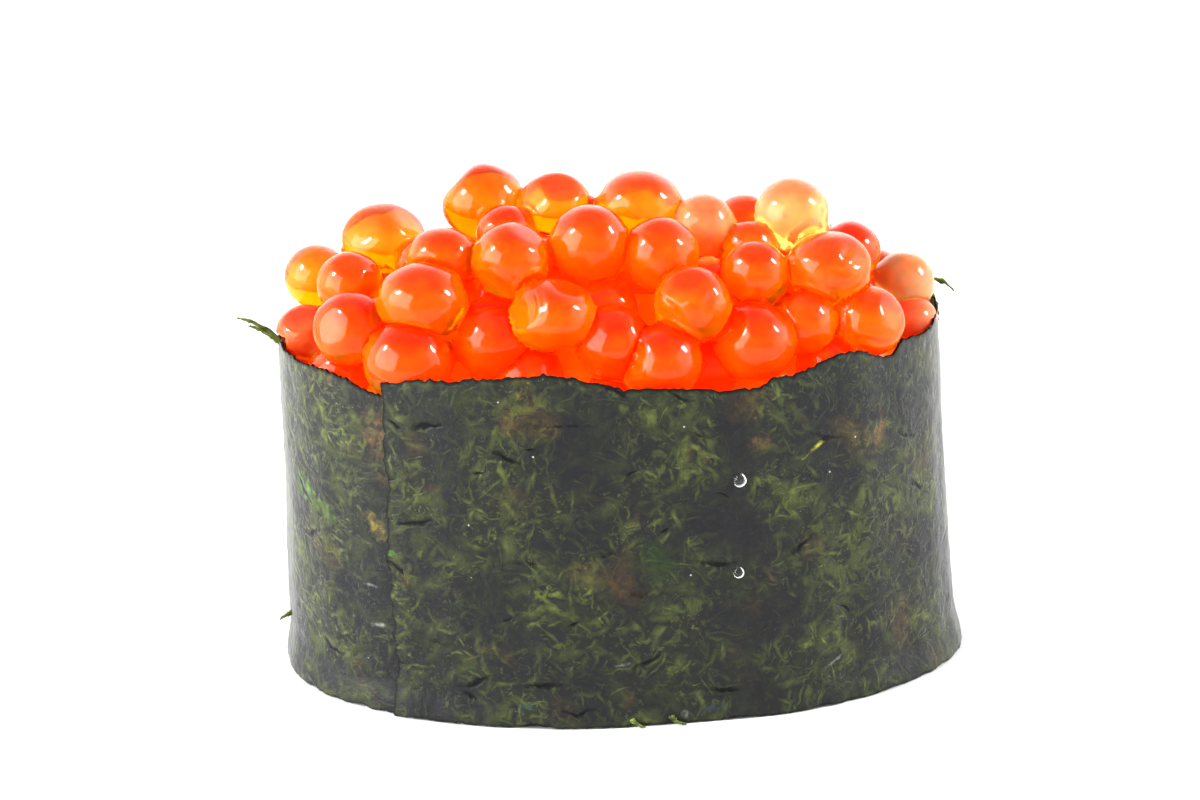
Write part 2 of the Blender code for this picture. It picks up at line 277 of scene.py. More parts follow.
longWay = addMath(tufts, "DIVIDE", (-50, 300), apart.outputs["X"], given["Length"])
wideWay = addMath(tufts, "DIVIDE", (-50, 150), apart.outputs["Y"], given["Width"])
spread = addNode(tufts, "ShaderNodeCombineXYZ", (50, 250), {"X": longWay, "Y": wideWay})
reach = addLength(tufts, (150, 250), spread.outputs[0])
alongStreak = addMath(tufts, "MULTIPLY", (-50, 0), apart.outputs["X"], 0.7)
acrossStreak = addMath(tufts, "MULTIPLY", (-50, -100), apart.outputs["Y"], given["Threads"])
streak = addNode(tufts, "ShaderNodeCombineXYZ", (50, 0),
                 {"X": alongStreak, "Y": acrossStreak, "Z": lot.outputs[1]})
streaks = addNode(tufts, "ShaderNodeTexNoise", (200, 0),
                  {"Vector": streak.outputs[0], "Scale": 1.0, "Detail": 3.0, "Roughness": 0.6})
ragged = addMath(tufts, "MULTIPLY", (300, 0), streaks.outputs["Fac"], 1.5)
ragged = addMath(tufts, "ADD", (350, 100), reach, ragged)
scrap = addRange(tufts, (400, 200), ragged, 1.75, 0.65)
chosen = addMath(tufts, "LESS_THAN", (300, -200), lot.outputs[2], given["Share"])
tufts.links.new(addMath(tufts, "MULTIPLY", (500, 100), scrap, chosen), gives["Mask"])
tufts.links.new(lot.outputs[1], gives["Lot"])

# Specks: small spots, far apart
specks, given, gives = newGroup(
    "specks",
    (("Vector", vector, None), ("Scale", scalar, 1.0), ("Size", scalar, 0.1), ("Share", scalar, 0.2)),
    (("Mask", scalar),),
)
spots = addNode(specks, "ShaderNodeTexVoronoi", (-600, 0),
                {"Vector": given["Vector"], "Scale": given["Scale"]})
spot = addRange(specks, (-300, 0), spots.outputs["Distance"], given["Size"], 0.0)
speckLot = addNode(specks, "ShaderNodeSeparateColor", (-400, -200), {0: spots.outputs["Color"]})
chosen = addMath(specks, "LESS_THAN", (-200, -200), speckLot.outputs[0], given["Share"])
specks.links.new(addMath(specks, "MULTIPLY", (0, 0), spot, chosen), gives["Mask"])

# Bit: one ragged scrap at a given place and lie
bitMask, given, gives = newGroup(
    "bitMask",
    (("Vector", vector, None), ("At", vector, None), ("Lie", scalar, 0.0), ("Size", vector, None),
     ("Fray", scalar, 0.0)),
    (("Mask", scalar),),
)
away = addVector(bitMask, "SUBTRACT", (-800, 0), given["Vector"], given["At"])
away = addNode(bitMask, "ShaderNodeVectorRotate", (-650, 0),
               {"Vector": away, "Angle": given["Lie"]}, rotation_type="Z_AXIS").outputs[0]
away = addVector(bitMask, "DIVIDE", (-500, 0), away, given["Size"])
frayed = addMath(bitMask, "ADD", (-50, 0), addLength(bitMask, (-350, 0), away), given["Fray"])
bitMask.links.new(addRange(bitMask, (150, 0), frayed, 2.0, 1.3), gives["Mask"])


def tintByCloud(tree, shader, scale, detail, low, high, first, second):
    # mottles a material in two colours, and hands the mask on
    mask = useGroup(tree, mottle, (-700, 0), Vector=objectPlace(tree, (-900, 0)), Scale=scale,
                    Detail=detail, Low=low, High=high)["Mask"]
    tree.links.new(addMix(tree, (-400, 0), mask, first, second), shader.inputs["Base Color"])
    return mask


print("seaweed strip")

nori = {
    "stations": 690,
    "rows": 70,
    "crinkle": 0.05 * mm,
    "endTear": 1.3,  # degrees that the outer end is torn by
    "bareAt": 58.7,  # degrees from the outer end, where an upright band shows little green
    "bottomLift": 0.55 * mm,  # most that the lower edge stands clear of the ground
    "tearDepth": 0.20 * mm,  # of the ragged edge, finer than in the solids
    # scraps of leaf in layers: cells a mm, half length and half width in mm, share of the cells
    # that hold one, threads a mm, seed, and how strongly they show
    "scraps": (
        (0.30, 2.0, 0.90, 0.60, 1.8, 11.0, 0.45),
        (0.42, 1.5, 0.50, 0.60, 3.0, 23.0, 0.60),
        (0.55, 1.2, 0.32, 0.55, 5.0, 37.0, 0.70),
        (0.75, 0.9, 0.20, 0.50, 7.0, 51.0, 0.80),
        (0.36, 2.0, 0.14, 0.40, 6.0, 64.0, 0.70),
        (0.60, 1.2, 0.11, 0.30, 8.0, 88.0, 0.80),
    ),
    # patches without a lie: cells a mm, detail, warp, low and high cut, shift, how they show
    "patches": (
        (0.42, 7.0, 1.4, 0.54, 0.68, (0.0, 40.0, 0.0), 0.70),
        (0.80, 6.0, 2.2, 0.57, 0.70, (90.0, 0.0, 3.0), 0.85),
        (1.50, 5.0, 1.6, 0.60, 0.72, (30.0, 70.0, 9.0), 0.90),
    ),
    # slits: cells a mm, half length and half width in mm, share of the cells, seed
    "slits": ((0.24, 1.7, 0.34, 0.16, 77.0), (0.42, 0.9, 0.24, 0.06, 93.0)),
    # single bits: degrees from the outer end and height in mm, half length and half width in
    # mm, lie in degrees, and colour
    "bits": (
        (73.4, 20.6, 1.5, 0.24, 33, (0.40, 0.39, 0.02, 1)),
        (46.1, 13.0, 1.5, 2.6, 30, (0.020, 0.045, 0.014, 1)),
        (332.5, 15.9, 2.4, 1.3, -20, (0.085, 0.17, 0.022, 1)),
        (340.0, 15.0, 2.4, 0.8, -10, (0.06, 0.10, 0.020, 1)),
        (0.9, 13.0, 0.5, 0.45, 0, (0.08, 0.16, 0.03, 1)),
        (356.9, 22.4, 1.3, 2.2, 10, (0.10, 0.062, 0.032, 1)),
        (356.2, 15.0, 1.6, 0.8, -60, (0.17, 0.135, 0.03, 1)),
        (89.1, 20.2, 0.8, 1.6, -20, (0.15, 0.085, 0.034, 1)),
        (62.7, 21.6, 1.2, 0.9, 0, (0.10, 0.058, 0.026, 1)),
        (52.8, 1.0, 1.3, 0.35, 0, (0.030, 0.042, 0.058, 1)),
        (25.4, 1.6, 1.0, 0.40, 0, (0.032, 0.050, 0.048, 1)),
    ),
    # dark slits, and painted glints: pale marks that stand in for highlights, given in the same way but
    # for the colour
    "darkBits": (
        (5.0, 15.6, 1.5, 0.22, 0), (26.2, 13.0, 1.8, 0.26, 0), (38.2, 13.6, 1.7, 0.36, 8),
        (43.3, 10.4, 1.1, 0.55, -5), (28.8, 21.8, 0.9, 0.36, 35), (52.8, 22.6, 2.3, 0.26, -15),
        (33.0, 23.8, 3.8, 0.20, 0), (9.0, 6.4, 1.4, 0.36, -15),
    ),
    "paintedGlintBits": (
        (355.2, 6.8, 1.0, 0.26, 15), (354.5, 10.0, 0.7, 0.20, 0), (75.4, 3.4, 1.0, 0.20, 25),
        (40.8, 4.8, 1.0, 0.18, 10), (48.4, 0.7, 0.4, 0.35, 60),
    ),
    # colour of pale specks painted in as glints
    "paintedSpeckGlint": (0.42, 0.44, 0.40, 1),
    # colour of the painted glints
    "paintedGlint": (0.19, 0.20, 0.18, 1),
    "ground": (0.0155, 0.0155, 0.0175, 1),
    "haze": (0.029, 0.033, 0.018, 1),
    "deepGreen": (0.038, 0.052, 0.014, 1),
    "green": (0.092, 0.118, 0.026, 1),
    "lightGreen": (0.185, 0.225, 0.046, 1),
    "rust": (0.16, 0.085, 0.025, 1),
    # black of the slits, also used for the painted shade along the outer end
    "slitAndShade": (0.001, 0.001, 0.001, 1),
    "tornThrough": (0.006, 0.006, 0.005, 1),
    "roughness": 0.36,
    "relief": 0.09 * mm,  # of the bump
}

noriMaterial, tree, shader = newMaterial(
    "pressedSeaweed", Specular_IOR_Level=0.22, Sheen_Weight=0.72, Sheen_Roughness=0.30,
)
sheet = addNode(tree, "ShaderNodeAttribute", (-2600, 0), attribute_name="sheet").outputs["Vector"]
edge = addNode(tree, "ShaderNodeAttribute", (-2600, -300), attribute_name="edge").outputs["Fac"]
meadow = useGroup(tree, mottle, (-2300, -700), Vector=sheet, Scale=0.16, Detail=3.0, Low=0.38,
                  High=0.62)["Mask"]
fine = useGroup(tree, mottle, (-2300, -900), Vector=sheet, Scale=1.7, Detail=7.0, Roughness=0.6,
                Low=0.35, High=0.68)["Mask"]
rustSpots = useGroup(tree, mottle, (-2300, -1100), Vector=sheet, Scale=0.13, Detail=4.0, Low=0.57,
                     High=0.68)["Mask"]
scraps = None
lots = None
for number, (scale, long, wide, share, threads, seed, shows) in enumerate(nori["scraps"]):
    level = 900 - 320 * number
    layer = useGroup(tree, tufts, (-2300, level), Vector=sheet, Scale=scale, Length=long,
                     Width=wide, Share=share, Threads=threads, Seed=seed)
    shown = addMath(tree, "MULTIPLY", (-2100, level), layer["Mask"], shows)
    if scraps is None:
        scraps, lots = shown, layer["Lot"]
    else:
        over = addMath(tree, "GREATER_THAN", (-2000, level), shown, scraps)
        lots = addMix(tree, (-1800, level), over, lots, layer["Lot"])
        scraps = addMath(tree, "MAXIMUM", (-1900, level), scraps, shown)
for number, (scale, detail, warp, low, high, shift, shows) in enumerate(nori["patches"]):
    level = 2300 - 320 * number
    moved = addVector(tree, "ADD", (-2450, level), sheet, shift)
    layer = useGroup(tree, mottle, (-2300, level), Vector=moved, Scale=scale, Detail=detail,
                     Roughness=0.62, Warp=warp, Low=low, High=high)["Mask"]
    shown = addMath(tree, "MULTIPLY", (-2100, level), layer, shows)
    scraps = addMath(tree, "MAXIMUM", (-1900, level), scraps, shown)
grained = addRange(tree, (-1700, 0), fine, 0.0, 1.0, 0.55, 1.15)
scraps = addMath(tree, "MULTIPLY", (-1650, 200), scraps, grained, clamp=True)
slits = None
for number, (scale, long, wide, share, seed) in enumerate(nori["slits"]):
    level = -1400 - 320 * number
    layer = useGroup(tree, tufts, (-2300, level), Vector=sheet, Scale=scale, Length=long,
                     Width=wide, Spread=1.3, Share=share, Threads=0.9, Seed=seed)["Mask"]
    layer = addRange(tree, (-2100, level), layer, 0.15, 0.65)
    slits = layer if slits is None else addMath(tree, "MAXIMUM", (-1900, level), slits, layer)
glints = useGroup(tree, specks, (-2300, -1700), Vector=sheet, Scale=0.9, Size=0.13,
                  Share=0.10)["Mask"]
thick = addRange(tree, (-1600, -300), meadow, 0.0, 1.0, 0.22, 1.0)
lengthWise = addNode(tree, "ShaderNodeSeparateXYZ", (-2450, -500), {0: sheet}).outputs["X"]
ridge = stripLength(nori["bareAt"]) / mm
fromRidge = addMath(tree, "SUBTRACT", (-2000, -500), lengthWise, ridge)
fromRidge = addMath(tree, "ABSOLUTE", (-1900, -500), fromRidge)
strayed = addMath(tree, "MULTIPLY", (-1900, -700), meadow, 1.2)
fromRidge = addMath(tree, "ADD", (-1850, -600), fromRidge, strayed)
grown = addRange(tree, (-1800, -500), fromRidge, 1.1, 2.6, 0.10, 1.0)
thick = addMath(tree, "MULTIPLY", (-1500, -350), thick, grown)
greenShare = addMath(tree, "MULTIPLY", (-1400, 300), scraps, thick)
haze = addMath(tree, "MULTIPLY", (-1500, -200), meadow, fine)
tone = useGroup(tree, mottle, (-1900, -300), Vector=sheet, Scale=0.30, Detail=3.0, Low=0.3,
                High=0.7)["Mask"]
tone = addMath(tree, "ADD", (-1800, 450), lots, tone)
tone = addMath(tree, "MULTIPLY", (-1700, 550), tone, 0.5)
leaf = addNode(tree, "ShaderNodeValToRGB", (-1500, 500), {"Fac": tone})
leafStops = ((0.0, nori["deepGreen"]), (0.45, nori["green"]), (0.80, nori["lightGreen"]),
             (0.95, nori["rust"]))
for number, (where, tint) in enumerate(leafStops):
    stop = leaf.color_ramp.elements[number] if number < 2 else leaf.color_ramp.elements.new(where)
    stop.position = where
    stop.color = tint
colour = addMix(tree, (-1200, 0), haze, nori["ground"], nori["haze"])
colour = addMix(tree, (-1000, 0), greenShare, colour, leaf.outputs["Color"])
rustShare = addRange(tree, (-1300, -400), fine, 0.0, 1.0, 0.05, 0.35)
rustShare = addMath(tree, "MULTIPLY", (-1200, -300), rustSpots, rustShare)
colour = addMix(tree, (-800, 0), rustShare, colour, nori["rust"])
fray = addNode(tree, "ShaderNodeTexNoise", (-1300, 1000),
               {"Vector": sheet, "Scale": 1.6, "Detail": 4.0})
fray = addMath(tree, "MULTIPLY", (-1150, 1000), fray.outputs["Fac"], 2.2)
grain = addRange(tree, (-1150, 800), fine, 0.15, 0.85, 0.15, 1.0)
# the painted glints mix painted highlights into the colour
bits = [*nori["bits"], *[(*bit, nori["slitAndShade"]) for bit in nori["darkBits"]],
        *[(*bit, nori["paintedGlint"]) for bit in nori["paintedGlintBits"]]]
for number, (degrees, up, long, wide, lie, tint) in enumerate(bits):
    level = 900 + 250 * number
    at = (stripLength(degrees) / mm, up, 0)
    mask = useGroup(tree, bitMask, (-1000, level), Vector=sheet, At=at, Lie=-math.radians(lie),
                    Size=(long, wide, 1), Fray=fray)["Mask"]
    mask = addMath(tree, "MULTIPLY", (-800, level), mask, grain)
    colour = addMix(tree, (-700, level), mask, colour, tint)
colour = addMix(tree, (-600, 0), slits, colour, nori["slitAndShade"])
# painted glints: pale specks mixed into the colour
paintedGlintSpecks = useGroup(tree, specks, (-900, -1700), Vector=sheet, Scale=0.8, Size=0.075,
                  Share=0.10)["Mask"]
paintedGlintSpecks = addRange(tree, (-700, -1700), paintedGlintSpecks, 0.0, 0.5)
colour = addMix(tree, (-550, 200), paintedGlintSpecks, colour, nori["paintedSpeckGlint"])
# darker near the torn top and bottom edges; along the outer end, at the seam, this darkening is painted
# shade
edgeDarkAndEndShade = addRange(tree, (-800, 300), edge, 0.30, 0.05, 0.0, 0.85)
colour = addMix(tree, (-450, 0), edgeDarkAndEndShade, colour, nori["slitAndShade"])
tree.links.new(colour, shader.inputs["Base Color"])
rough = addRange(tree, (-500, -400), fine, 0.0, 1.0, nori["roughness"] - 0.06,
                 nori["roughness"] + 0.12)
for layer, more in ((greenShare, 0.12), (edgeDarkAndEndShade, 0.4)):
    rougher = addMath(tree, "MULTIPLY", (-400, -550), layer, more)
    rough = addMath(tree, "ADD", (-300, -400), rough, rougher)
tree.links.new(rough, shader.inputs["Roughness"])
height = addMath(tree, "MULTIPLY", (-700, -800), scraps, 0.55)
grains = addMath(tree, "MULTIPLY", (-700, -950), fine, 0.35)
height = addMath(tree, "ADD", (-600, -800), height, grains)
height = addMath(tree, "SUBTRACT", (-500, -800), height, slits)
height = addMath(tree, "ADD", (-400, -800), height, glints)
addBump(tree, shader, (-250, -800), height, 0.7, nori["relief"])


def makeStrip():
    bm = bmesh.new()
    bmesh.ops.create_grid(bm, x_segments=nori["stations"], y_segments=nori["rows"], size=1)
    sheetLayer = bm.verts.layers.float_vector.new("sheet")
    edgeLayer = bm.verts.layers.float.new("edge")
    total = 360 + band["lap"]
    count = nori["stations"]
    lengths = [0.0]
    for station in range(count):
        first, last = (onOval(band["outerEndTurn"] + total * (station + more) / count, 0)
                       for more in (0, 1))
        lengths.append(lengths[-1] + (last - first).length)
    for vert in bm.verts:
        along, up = (vert.co.x + 1) / 2, (vert.co.y + 1) / 2
        degrees = along * total
        height = up * band["height"] / mm
        torn = noise.noise((height * 0.35, 20.0, 0.0))
        torn += 0.5 * noise.noise((height * 1.3, 30.0, 0.0))
        torn += 0.3 * noise.noise((height * 3.1, 40.0, 0.0))
        degrees += torn * nori["endTear"] * max(0.0, 1 - degrees / 6)
        bottom, top = stripEnds(degrees)
        tear = noise.noise((degrees * 2.3, 1.0, 7.0)) + 0.7 * noise.noise((degrees * 5.1, 2.0, 7.0))
        top += tear * nori["tearDepth"]
        bottom += abs(noise.noise((degrees * 1.7, 3.0, 7.0))) * nori["tearDepth"]
        bottom += max(0.0, noise.noise((degrees * 0.13, 11.0, 0.0))) * nori["bottomLift"]
        z = bottom + up * (top - bottom)
        length = lengths[round(along * count)]
        spot = Vector((length, z, 0)) / mm
        crinkle = noise.noise(spot * Vector((0.5, 0.8, 1))) + 0.6 * noise.noise(spot * 1.7)
        crinkle += 1.4 * noise.noise(spot * Vector((0.45, 0.05, 1)))
        out = stripOut(degrees, z, up) + crinkle * nori["crinkle"]
        vert.co = onOval(band["outerEndTurn"] + degrees, z, out)
        vert[sheetLayer] = spot
        # mm to the nearest edge, the outer end included: it drives the edge darkening, which is painted
        # shade at the outer end
        vert[edgeLayer] = min(top - z, z - bottom + 0.1 * mm, length + 0.05 * mm) / mm
    bmesh.ops.triangulate(bm, faces=bm.faces)
    bmesh.ops.recalc_face_normals(bm, faces=bm.faces)
    return toMesh(bm, "nori_wrap")


edgeMaterial, tree, shader = newMaterial("tornEdge", Specular_IOR_Level=0.1, Roughness=0.8)
tintByCloud(tree, shader, 1600.0, 3.0, 0.62, 0.72, nori["tornThrough"], nori["lightGreen"])
strip = addPiece("nori_wrap", makeStrip(), noriMaterial, edgeMaterial)
thicken = strip.modifiers.new("thickness", "SOLIDIFY")
thicken.thickness = band["thickness"]
thicken.offset = 0
thicken.material_offset_rim = 1
crisp = strip.modifiers.new("crispEdges", "EDGE_SPLIT")
crisp.split_angle = math.radians(60)
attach(strip, "root")
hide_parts("nori_strip")


bead = {
    # degrees from the strip's outer end, height and size in mm
    "places": ((58.8, 18.9, 1.05), (57.9, 11.6, 0.88)),
    "hang": 0.12,  # share that the lower part is wider by
    "tall": 1.08,
    "seat": 0.10,  # shares of the size: how far its middle stands out, and how deep it is
    "depth": 0.36,
    "flatBack": -0.45,
}


def makeBeads():
    bm = bmesh.new()
    for degrees, height, size in bead["places"]:
        z = height * mm
        bottom, top = stripEnds(degrees)
        up = (z - bottom) / (top - bottom)
        turn = band["outerEndTurn"] + degrees
        seat = onOval(turn, z, stripOut(degrees, z, up) + band["thickness"] / 2)
        along = (onOval(turn + 1, z) - onOval(turn - 1, z)).normalized()
        outward = along.cross(zUp).normalized()
        made = bmesh.ops.create_uvsphere(bm, u_segments=40, v_segments=28, radius=1)["verts"]
        for vert in made:
            ball = vert.co
            aside = along * ball.x / 2 * (1 - bead["hang"] * ball.z)
            higher = zUp * ball.z / 2 * bead["tall"]
            out = outward * (bead["seat"] + max(ball.y, bead["flatBack"]) * bead["depth"])
            vert.co = seat + (aside + higher + out) * size * mm
    return toMesh(bm, "water_beads")


waterMaterial, tree, shader = newMaterial(
    "waterBead", Transmission_Weight=1.0, IOR=1.33, Roughness=0.0, Base_Color=(1, 1, 1, 1),
)
ripple = useGroup(tree, mottle, (-700, 0), Vector=objectPlace(tree, (-900, 0)), Scale=900.0,
                  Detail=1.0, Low=0.2, High=0.8)["Mask"]
addBump(tree, shader, (-300, -300), ripple, 0.1, 0.02 * mm)
drops = addPiece("water_beads", makeBeads(), waterMaterial)
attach(drops, "root")
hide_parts("nori_strip")


# Torn bits that stand off the strip
sliver = {
    "steps": 26,
    "thickness": 0.12 * mm,
    # degrees from the outer end and height in mm where each leaves it, None at the rim, then four
    # points that it passes from there and the root's width, in mm
    "places": (
        (313.0, None, ((0.3, 0.0, -0.9), (-0.1, 0.0, 0.0), (-1.3, -0.1, 1.2), (-3.2, -0.2, 1.75)), 0.7),
        (313.0, None, ((0.2, 0.0, -0.6), (-0.6, 0.0, 0.3), (-1.6, -0.1, 0.9), (-2.4, -0.2, 1.1)), 0.4),
        (143.6, None, ((0.0, 0.0, -0.9), (0.0, 0.0, 0.1), (0.7, -0.2, 0.85), (2.6, -0.5, -0.65)), 1.0),
        (134.0, None, ((-0.1, 0.0, -1.8), (0.0, -0.1, -0.6), (-0.1, -0.1, 0.4), (-0.4, 0.0, 1.2)), 1.3),
        (314.0, 3.4, ((0.3, 0.0, 0.5), (0.0, 0.0, 0.1), (-0.4, -0.1, 0.0), (-0.9, -0.2, -0.3)), 0.5),
        (42.0, 0.3, ((-0.2, 0.1, 0.3), (0.0, -0.1, 0.0), (0.3, -0.2, -0.15), (0.8, -0.3, -0.2)), 0.35),
        (46.5, 0.3, ((0.0, 0.1, 0.4), (0.1, -0.1, 0.0), (0.4, -0.2, -0.15), (1.1, -0.3, -0.2)), 0.40),
    ),
}


def alongCurve(points, share):
    # a smooth way through four points
    first, second, third, last = (Vector(point) * mm for point in points)
    left = 1 - share
    pulled = second * 1.5 - third * 0.25, third * 1.5 - second * 0.25
    return (first * left**3 + 3 * pulled[0] * left**2 * share + 3 * pulled[1] * left * share**2
            + last * share**3)


def makeSlivers():
    bm = bmesh.new()
    for number, (degrees, height, points, width) in enumerate(sliver["places"]):
        bottom, top = stripEnds(degrees)
        z = top if height is None else height * mm
        up = (z - bottom) / (top - bottom)
        out = stripOut(degrees, z, up) + (0 if height is None else band["thickness"] / 2)
        root = onOval(band["outerEndTurn"] + degrees, z, out)
        rows = []
        for step in range(sliver["steps"] + 1):
            share = step / sliver["steps"]
            middle = alongCurve(points, share)
            ahead = (alongCurve(points, share + 0.02) - middle).normalized()
            side = ahead.cross(Vector((0.25, 1.0, 0.1))).normalized()
            torn = 1 + 0.7 * noise.noise((share * 7, number * 3, 0))
            taper = width * mm * max(0.06, (1 - share) ** 0.8) * torn
            row = []
            for across in (-1, -0.33, 0.33, 1):
                wobble = noise.noise((share * 16, across * 2, number * 5)) * 0.16 * mm
                curl = Vector((0, -1, 0)) * abs(across) * 0.15 * mm * (1 - share)
                aside = side * (across * taper / 2 + wobble)
                row.append(bm.verts.new(root + middle + aside + curl))
            rows.append(row)
        for near, far in zip(rows, rows[1:]):
            for lane in range(3):
                bm.faces.new((near[lane], near[lane + 1], far[lane + 1], far[lane]))
    return toMesh(bm, "nori_slivers")


leafMaterial, tree, shader = newMaterial("tornLeaf", Specular_IOR_Level=0.3, Roughness=0.45)
veins = tintByCloud(tree, shader, 1400.0, 4.0, 0.35, 0.65, nori["deepGreen"],
                    nori["lightGreen"])
addBump(tree, shader, (-300, -300), veins, 0.5, 0.05 * mm)
shreds = addPiece("nori_slivers", makeSlivers(), leafMaterial)
thicken = shreds.modifiers.new("thickness", "SOLIDIFY")
thicken.thickness = sliver["thickness"]
thicken.offset = 0
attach(shreds, "root")
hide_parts("nori_strip")


print("heap of eggs")

# The top eggs are listed as seen from the front, a little above and to the left: place to the
# right of and above the aim, size, and tone from 0 for pale yellow to 1 for deep red
sight = {
    "aim": Vector((0, 0, 18)) * mm,
    "tilt": 20.0,
    "turn": -8.5,
    "distance": 350 * mm,
    "peepBack": 2.5 * mm,
}
eggRows = {
    "along the rim": (
        (-24.4, 6.6, 4.6, 1.0), (-20.7, 7.0, 5.7, 0.78), (-16.4, 4.5, 6.6, 0.76),
        (-10.4, 6.1, 5.5, 0.72), (-7.3, 3.3, 5.5, 0.82), (-0.8, 6.1, 5.7, 0.76),
        (3.0, 4.5, 6.0, 0.76), (6.6, 3.9, 4.6, 0.85), (10.1, 6.1, 6.1, 0.80),
        (13.9, 7.6, 4.9, 0.60), (18.6, 7.7, 5.7, 0.50), (22.1, 7.6, 4.1, 1.3),
    ),
    "second": (
        (-20.9, 10.5, 5.0, 0.62), (-15.4, 9.3, 6.7, 0.50), (-5.3, 8.1, 6.4, 0.50),
        (5.3, 9.0, 5.7, 0.62), (10.1, 11.4, 5.0, 0.64), (15.8, 11.9, 6.4, 0.42),
    ),
    "third": (
        (-13.8, 12.7, 5.2, 0.66), (-8.5, 12.3, 5.8, 0.62), (-2.5, 13.6, 6.0, 0.62),
        (2.9, 12.8, 5.7, 0.52),
    ),
    "crown": (
        (-18.3, 14.1, 6.4, 0.34), (-10.7, 16.8, 6.3, 0.72), (-5.2, 16.8, 5.5, 0.25),
        (1.3, 16.6, 6.4, 0.36), (12.9, 15.9, 5.6, 0.02),
    ),
    "peeping": (
        (-23.9, 11.1, 5.0, 0.26), (-9.0, 14.5, 4.5, 0.70), (6.2, 15.0, 4.9, 0.05),
        (9.3, 15.1, 4.7, 0.30), (9.7, 13.3, 4.3, 0.62), (17.4, 13.1, 4.6, 0.70),
        (21.5, 10.7, 4.9, 1.5),
    ),
}

heap = {
    "edge": 27.0 * mm,
    "rise": 8.5 * mm,
    "reachX": 24.5 * mm,
    "reachY": 13.7 * mm,
    "powerX": 3.5,
    "powerY": 2.2,
    "coreSink": 5.4 * mm,
    "lowerDepth": 3.3 * mm,
    "lowerSizes": (4.8 * mm, 6.0 * mm),
    "throws": 4000,
    "room": 0.7,
    "squeeze": 0.93,
    "settleRounds": 40,
    "holdAcross": 0.8,
    "holdBack": 0.1,
    "wallClearance": 0.55 * mm,
    "floor": 15.3 * mm,  # just above the rice
    "buriedSize": 5.2 * mm,
    "buriedRise": 1.7 * mm,
    "jitter": 0.7 * mm,
    "deepRed": (1.0, 0.08, 0.002, 1),
    "deepOrange": (1.0, 0.18, 0.004, 1),
    "deepGlow": 0.7,  # stands for the light that wanders about among the buried eggs
}


def dome(x, y):
    fall = abs(x / heap["reachX"]) ** heap["powerX"] + abs(y / heap["reachY"]) ** heap["powerY"]
    return heap["edge"] + heap["rise"] * (1 - fall)


def wallOverlap(place, radius):
    above = max(0.0, place.z - band["height"])
    inset = heap["wallClearance"] + math.sqrt(max(0.0, radius * radius - above * above))
    middle, halfLength, halfWidth = ovalAt(place.z)
    along = (place.x - middle) / (halfLength - inset)
    across = place.y / (halfWidth - inset)
    power = band["power"]
    slope = Vector((
        signedPower(along, power - 1) / (halfLength - inset),
        signedPower(across, power - 1) / (halfWidth - inset),
        0,
    ))
    excess = abs(along) ** power + abs(across) ** power - 1
    return excess / (power * slope.length + 1e-9), -slope.normalized()


def keepInside(place, radius):
    place.z = max(place.z, heap["floor"] + radius)
    overlap, inwards = wallOverlap(place, radius)
    if overlap > 0:
        place += inwards * overlap


def viewWays():
    # to the right, up and towards the viewer
    tilt, turn = math.radians(sight["tilt"]), math.radians(sight["turn"])
    level = math.cos(tilt)
    back = Vector((math.sin(turn) * level, -math.cos(turn) * level, math.sin(tilt)))
    right = Vector((math.cos(turn), math.sin(turn), 0))
    return right, back.cross(right), back


def lineOfSight(across, up):
    right, rise, back = viewWays()
    point = sight["aim"] + right * across * mm + rise * up * mm
    eye = sight["aim"] + back * sight["distance"]
    return point, (point - eye).normalized()


def placeSeen(across, up, radius, further):
    point, onwards = lineOfSight(across, up)
    best = None
    for step in range(-160, 160):
        place = point + onwards * step * 0.2 * mm
        above = place.z - dome(place.x, place.y)
        if best is None or above < best[0]:
            best = (above, place)
        if above < 0:
            break
    place = best[1] + onwards * further
    while wallOverlap(place, radius)[0] > 0 and place.y < 0:
        place += onwards * 0.1 * mm
    return place, onwards


def settle(eggs, homes):
    for _ in range(heap["settleRounds"]):
        for number, (place, radius, _) in enumerate(eggs):
            for other, otherRadius, _ in eggs[:number]:
                apart = place - other
                want = heap["squeeze"] * (radius + otherRadius)
                if apart.length < want:
                    push = apart.normalized() * (want - apart.length) / 2
                    place += push
                    other -= push
        for (place, _, _), (home, onwards) in zip(eggs, homes):
            strayed = home - place
            place += strayed * heap["holdAcross"]
            place -= onwards * strayed.dot(onwards) * (heap["holdAcross"] - heap["holdBack"])
        for place, _, _ in eggs[len(homes):]:
            place.z = min(place.z, dome(place.x, place.y) - heap["lowerDepth"])
        for place, radius, _ in eggs:
            keepInside(place, radius)


def heapEggs():
    draw = random.Random(7)
    eggs = []
    homes = []
    for name, row in eggRows.items():
        for across, up, size, tone in row:
            further = sight["peepBack"] if name == "peeping" else 0
            home, onwards = placeSeen(across, up, size / 2 * mm, further)
            homes.append((home, onwards))
            eggs.append((home.copy(), size / 2 * mm, tone))
    toneDraw = random.Random(19)
    for _ in range(heap["throws"]):
        x = draw.uniform(-0.5, 0.5) * band["length"]
        y = draw.uniform(-0.5, 0.5) * band["width"]
        radius = draw.uniform(*heap["lowerSizes"]) / 2
        place = Vector((x, y, dome(x, y) - heap["lowerDepth"]))
        if ovalShare(x, y, place.z, heap["wallClearance"] + radius * 0.6) < 1:
            keepInside(place, radius)
            if all((place - other).length > heap["room"] * (radius + r) for other, r, _ in eggs):
                eggs.append((place, radius, toneDraw.uniform(0.45, 0.8)))
    settle(eggs, homes)
    return eggs


